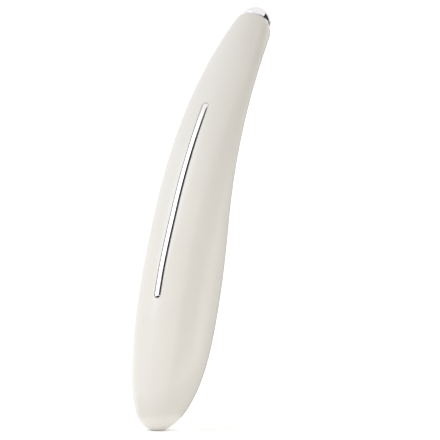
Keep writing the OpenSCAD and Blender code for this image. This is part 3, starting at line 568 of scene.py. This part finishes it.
shell_rows = filled([BELLY_AT * (1 - math.cos(math.radians(5 * k))) for k in range(5)],
                    [STRIP_START + v for v in (-0.9, -0.3, 0.35, GROOVE_HALF)],
                    [STRIP_END - v for v in (GROOVE_HALF, 0.35, -0.3, -0.9)], COVER_BLOCK,
                    [SHELL_LEN - RIM_ROUND_LEN * (1 - math.sin(math.radians(15 * k))) for k in range(7)])
cover_rows = filled([COVER_START + 5, COVER_END - 5],
                    spread(*KEY_BLOCK, 0.9), spread(*WINDOW_BLOCK, 0.9))
strip_columns = [COLUMN * k for k in range(-3, 4)]


def stadium(middle, half_len, half_wide, rows, columns, stretch=1.0):
    """A bar with round ends, as an outline."""
    return Outline(middle, (half_len * stretch, half_wide), (half_wide * stretch, half_wide), rows, columns)


def cover_outline(rows, reach):
    """The cover's edge: flat ends and long, soft corners."""
    return Outline((COVER_START + COVER_END) / 2, ((COVER_END - COVER_START) / 2, COVER_ANGLE),
                   (COVER_ROUND, COVER_ANGLE / 2), rows,
                   [180 + COLUMN * k for k in range(-reach, reach + 1)], flat=False)


# ---- Shell pieces ----

def body_shell():
    """The one-piece shell: its skin, the strip's groove, the cover's opening, rim and open foot."""
    groove = stadium(STRIP_START + STRIP_LEN / 2, STRIP_LEN / 2, GROOVE_HALF,
                     within(shell_rows, *STRIP_BLOCK), strip_columns)
    opening = cover_outline(within(shell_rows, *COVER_BLOCK), 16)
    net = Skin()
    net.grid(shell_rows, ROUND_COLUMNS, 0, holes=[groove, opening])
    net.bands(groove.border(), groove.loop(LIP + EASE), *groove.edge(0, LIP),
              *[groove.loop(out, GROOVE_DEPTH) for out in (0, -GROOVE_HALF / 2, -GROOVE_HALF)])
    net.bands(opening.border(), opening.loop(LIP + EASE), *opening.edge(0, LIP),
              opening.loop(0, WALL), opening.border(WALL))
    net.grid(shell_rows, ROUND_COLUMNS, WALL, holes=[opening])
    for end in (shell_rows[0], shell_rows[-1]):
        net.bands([(end, a, 0) for a in ROUND_COLUMNS[:-1]], [(end, a, WALL) for a in ROUND_COLUMNS[:-1]])
    piece("body_shell_skin", net.points, net.faces, "wand", pearl_lacquer, ["body_shell"])


def back_cover():
    """The fitted cover: a soft edge all round, with openings for the key and the light window."""
    edge = cover_outline(cover_rows, 10)
    columns = edge.columns
    key_hole = stadium(KEY_AT, KEY_LEN / 2 + KEY_GAP, KEY_W / 2 + KEY_GAP,
                       within(cover_rows, *KEY_BLOCK), within(columns, 157.5, 202.5), BACK_STRETCH)
    window_hole = stadium(WINDOW_AT, WINDOW_D / 2 + FIT, WINDOW_D / 2 + FIT,
                          within(cover_rows, *WINDOW_BLOCK), within(columns, 168.75, 191.25), BACK_STRETCH)
    net = Skin()
    for depth in (0, WALL):
        net.grid(cover_rows, columns, depth, holes=[key_hole, window_hole])
    net.bands(edge.border(), edge.loop(-4), edge.loop(-2), edge.loop(-SEAM - LIP - EASE),
              *edge.edge(-SEAM, LIP, outward=False),
              edge.loop(-SEAM, WALL), edge.loop(-2, WALL), edge.border(WALL))
    for hole in (key_hole, window_hole):
        net.bands(hole.border(), hole.loop(LIP + EASE), *hole.edge(0, LIP), hole.loop(0, WALL),
                  hole.border(WALL))
    piece("back_cover_skin", net.points, net.faces, "wand", pearl_lacquer, ["back_cover"])


def power_button():
    """The press key: a soft-edged cap with a shallow dish, its sides and the flange that keeps it in."""
    rim, dish, flange, flange_top, flange_end = 0.35, 0.16, 0.6, WALL + 0.51, WALL + 1.35
    half = KEY_W / 2
    key = stadium(KEY_AT, KEY_LEN / 2, half, within(cover_rows, *KEY_BLOCK),
                  [180 + COLUMN * k for k in range(-6, 7)], BACK_STRETCH)
    net = Skin()
    tops = [key.loop(-half * (1 - r), -KEY_PROUD + dish * (1 - (r / (1 - rim / half)) ** 2))
            for r in (0, 0.25, 0.5, 0.7)]
    net.bands(*tops, key.loop(-rim - EASE, -KEY_PROUD + 0.02), *key.edge(0, rim, -KEY_PROUD, outward=False),
              key.loop(0, flange_top), key.loop(flange, flange_top), key.loop(flange, flange_end),
              key.loop(-half, flange_end))
    piece("power_button_cap", net.points, net.faces, "key", pearl_lacquer, ["power_button"])


def trim_strip():
    """The plated strip: a flat face with a polished bevel all round, let into its groove."""
    half, bevel, drop, soft = STRIP_W / 2, 0.56, 0.45, 0.06
    strip = stadium(STRIP_START + STRIP_LEN / 2, STRIP_LEN / 2 - FIT, half,
                    within(shell_rows, *STRIP_BLOCK), strip_columns)
    top, foot, under = -STRIP_TOP, drop - STRIP_TOP, GROOVE_DEPTH - 0.04
    net = Skin()
    net.bands(strip.loop(-half, under), strip.loop(0, under),
              strip.loop(0, foot + soft), strip.loop(-0.3 * soft, foot + 0.3 * soft),
              strip.loop(-soft, foot - soft), strip.loop(-bevel + soft, top + soft),
              strip.loop(-bevel - 0.3 * soft, top + 0.2 * soft), strip.loop(-bevel - soft, top),
              *[strip.loop(out, top) for out in (-0.8, -1.0, -half)])
    piece("trim_strip_plate", net.points, net.faces, "wand", bright_chrome, ["trim_strip"])


def base_cap():
    """The foot's cap: a flat to stand on, a soft edge, and the spigot that holds it in the shell."""
    top, reach, bore, soft = FOOT_H - 0.01, FOOT_D / 2 - 0.02, SOCKET_BORE_D / 2 + 0.65 + FIT / 2, 0.02
    flat, steps, fullness = bore + 0.05, 10, 1.25
    rise = [(flat + (reach - flat) * k / steps, (top - soft) * (k / steps) ** fullness)
            for k in range(steps + 1)]
    inner = SOCKET_D / 2 + FIT / 2
    profile = ([(bore + soft, 0)] + rise + arc(reach - soft, top - soft, soft, 0, 90, 3)
               + [(SPIGOT_R, top), (SPIGOT_R, FOOT_H + SPIGOT_H), (inner, FOOT_H + SPIGOT_H),
                  (inner, FOOT_H), (bore, FOOT_H)] + arc(bore + soft, soft, soft, 180, 270, 3))
    turned("base_cap_foot", profile, Matrix(), "wand", pearl_lacquer, ["base_cap"])


def charge_socket():
    """The round socket: a bevelled mouth flush with the foot, its bore and its body."""
    bore, nose, body, soft = SOCKET_BORE_D / 2, SOCKET_BORE_D / 2 + 0.65, SOCKET_D / 2, 0.1
    top = SOCKET_BORE_LEN + 1.05
    profile = ([(0, SOCKET_BORE_LEN), (bore, SOCKET_BORE_LEN), (bore, 2 * soft)]
               + [(bore + 2 * soft, 0)] + arc(nose - soft, soft, soft, -90, 0, 3)
               + [(nose, FOOT_H + 0.05), (body, FOOT_H + 0.05), (body, top - soft),
                  (body - soft, top), (0, top)])
    turned("charge_socket_barrel", profile, Matrix(), "wand", nickel_plate,
           ["charge_socket"])


# ---- Head ----

def massage_head():
    """The drawn and plated dome: a round crown on a short skirt, with its hollow neck below."""
    r, base, top, heater, neck, roll = DOME_D / 2, RING_H, RING_H + SKIRT_H, 2.2, DOME_NECK_D / 2, 0.3
    neck_end, hollow_top = -2.6, base + 2.1
    crown = [(r * math.sin(math.radians(3 * k)), top + DOME_H * math.cos(math.radians(3 * k)))
             for k in range(31)]
    profile = (crown + arc(r - roll, base + roll, roll, 0, -90, 5)
               + [(neck, base), (neck, neck_end), (heater, neck_end), (heater, hollow_top),
                  (0, hollow_top)])
    turned("massage_head_dome", profile, on_line(SHELL_LEN), "wand", bright_chrome,
           ["massage_head"], sides=128)


def insulating_ring():
    """The ring that keeps the warm dome off the shell, with the collar that sits inside the rim."""
    r, soft, low, lift = DOME_D / 2 - 0.12, 0.06, 0.03, 0.17
    collar, collar_end, neck = RIM_D / 2 - WALL - 0.25, -3, DOME_NECK_D / 2 + FIT / 2
    profile = (arc(r - soft, lift + soft, soft, -90, 0, 3) + arc(r - soft, RING_H - soft, soft, 0, 90, 3)
               + [(neck, RING_H), (neck, collar_end), (collar, collar_end), (collar, low),
                  (collar + 0.1, low), (collar + 0.1, lift)])
    turned("insulating_ring_collar", profile, on_line(SHELL_LEN), "wand", heatproof_plastic,
           ["insulating_ring"])


def light_pipe():
    """The small window of the status light: a clear rod with a softly domed end."""
    r, low, soft = WINDOW_D / 2, 4.6, 0.12
    top = half_d(KEY_AT + WINDOW_ABOVE) + WINDOW_ABOVE ** 2 / 2 / BEND_R - 0.05
    dome = [(0.88 * r * math.sin(math.radians(15 * k)), top - soft + soft * math.cos(math.radians(15 * k)))
            for k in range(6)]
    outward = Matrix.Translation((0, 0, WINDOW_ABOVE * MM)) @ Matrix.Rotation(math.radians(-90), 4, "X")
    turned("light_pipe_window", dome + [(r, top - 1.6 * soft), (r, low), (0, low)],
           on_line(KEY_AT) @ outward, "wand", clear_acrylic, ["light_pipe"], sides=48)


for make in (body_shell, back_cover, power_button, trim_strip, base_cap, charge_socket,
             massage_head, insulating_ring, light_pipe, dress_inner):
    make()

# ---- Floor, backdrop and light ----


def plain(name, code, roughness):
    """A plain studio surface."""
    material = bpy.data.materials.new(name)
    material.use_nodes = True
    shader = material.node_tree.nodes["Principled BSDF"]
    shader.inputs["Base Color"].default_value = colour(code)
    shader.inputs["Roughness"].default_value = roughness
    return material


def stage_mesh(name, points, faces, material):
    mesh = bpy.data.meshes.new(name)
    mesh.from_pydata(points, [], faces)
    mesh.materials.append(material)
    obj = bpy.data.objects.new(name, mesh)
    bpy.context.scene.collection.objects.link(obj)
    return obj


def studio_floor():
    """A wide pale table just under the foot. It glows a little, so that the table is white in the picture,
    and its glow fades close to the foot: a painted shade round the foot, which deepens the foot's own soft
    shadow."""
    radius, below, sides = 4.0, 0.00005, 64
    dim, bright, dim_to, bright_from = 0.1, 0.3, 2 * MM, 7 * MM
    points = [(radius * math.cos(2 * math.pi * k / sides), radius * math.sin(2 * math.pi * k / sides), -below)
              for k in range(sides)]
    material = plain("pale_table", "F6F6F6", 0.6)
    tree = material.node_tree
    place = add(tree, "ShaderNodeTexCoord", {}).outputs["Object"]
    distance = add(tree, "ShaderNodeVectorMath", {0: place}, operation="LENGTH").outputs["Value"]
    # Painted shade: the glow drops from bright to dim within a few millimetres of the foot
    glow = add(tree, "ShaderNodeMapRange", {"Value": distance, "From Min": dim_to, "From Max": bright_from,
                                            "To Min": dim, "To Max": bright}).outputs["Result"]
    shader = tree.nodes["Principled BSDF"]
    shader.inputs["Emission Color"].default_value = colour("FFFFFF")
    tree.links.new(glow, shader.inputs["Emission Strength"])
    stage_mesh("floor", points, [list(range(sides))], material)


DARK = "2A2826"
GREY = "9A9793"


def shade_card(name, angles, low, high, code=DARK, mirrored=True):
    """A card round the wand, between two angles and from a low to a high (radius, height).
    It throws no shadow: only mirrors see it, or else only the light that dull surfaces gather does."""
    turns = spread(*angles, 5)
    points = [(radius * math.sin(math.radians(a)), -radius * math.cos(math.radians(a)), z)
              for radius, z in (low, high) for a in turns]
    n = len(turns)
    faces = [[k, k + 1, n + k + 1, n + k] for k in range(n - 1)]
    card = stage_mesh(name, points, faces, plain(name, code, 0.8))
    card.visible_camera = card.visible_shadow = False
    card.visible_glossy, card.visible_diffuse = mirrored, not mirrored


def cards():
    """The cards. Their angles are 0 at the front, 90 at +X and 180 at the back."""
    far, near, level = 0.35, 0.012, 0.001
    # The dark line that the strip's right bevel mirrors
    shade_card("strip_card", (45, 95), (far, 0.02), (far, 0.45))
    # The dark patch on the dome's right
    shade_card("dome_card", (97, 160), (far, 0.12), (far, 0.345))
    # The shell's right edge, which would else mirror a bright rim
    shade_card("edge_card", (130, 200), (far, level), (far, 0.12), GREY)
    # Mats on the table that only mirrors see: the dark reflection at the strip's lower end, and shade
    # mirrored in the shell above the table
    shade_card("front_mat_card", (-75, 60), (near, level), (0.2, level))
    shade_card("side_mat_card", (60, 130), (near, level), (0.1, level))
    shade_card("edge_mat_card", (130, 200), (near, level), (far, level), GREY)
    # Less light on the tip's right, and on what faces up
    shade_card("tip_flag_card", (90, 125), (0.1, 0.11), (0.1, 0.165), mirrored=False)
    shade_card("overhead_card", (-180, 180), (0.01, 0.5), (0.2, 0.5), mirrored=False)


def soft_box(name, place, aim, size, power, tint):
    data = bpy.data.lights.new(name, "AREA")
    data.shape = "DISK"
    data.size = size
    data.energy = power
    data.color = colour(tint)[:3]
    lamp = bpy.data.objects.new(name, data)
    lamp.location = place
    lamp.rotation_euler = (Vector(aim) - Vector(place)).to_track_quat("-Z", "Y").to_euler()
    bpy.context.scene.collection.objects.link(lamp)


def studio():
    world = bpy.data.worlds.new("white_studio")
    world.use_nodes = True
    world.node_tree.nodes["Background"].inputs["Color"].default_value = colour("FFFFFF")
    world.node_tree.nodes["Background"].inputs["Strength"].default_value = 1.0
    scene = bpy.context.scene
    scene.world = world
    scene.view_settings.view_transform = "Standard"
    studio_floor()
    cards()
    soft_box("key_light", place=(-0.6, -0.7, 0.75), aim=(0, 0.02, 0.07), size=0.8, power=3.5,
             tint="DCE8FF")


def camera():
    """A long lens at the photograph's angle, with the wand's place in the frame."""
    azimuth, elevation, lens, sensor = math.radians(32), math.radians(4.5), 600.0, 36.0
    frame_width, right_of, above, depth_of = 143.78, 20.204, 67.9, 25.0
    away = frame_width * lens / sensor
    right = Vector((math.cos(azimuth), math.sin(azimuth), 0))
    forward = Vector((-math.sin(azimuth) * math.cos(elevation), math.cos(azimuth) * math.cos(elevation),
                      -math.sin(elevation)))
    up = right.cross(forward)
    data = bpy.data.cameras.new("camera")
    data.lens, data.sensor_width = lens, sensor
    data.clip_start, data.clip_end = 0.1, 20
    obj = bpy.data.objects.new("camera", data)
    turn = Matrix((right, up, -forward)).transposed().to_4x4()
    obj.matrix_world = Matrix.Translation(
        (right * right_of + up * above + forward * (depth_of - away)) * MM) @ turn
    bpy.context.scene.collection.objects.link(obj)
    bpy.context.scene.camera = obj


studio()
camera()
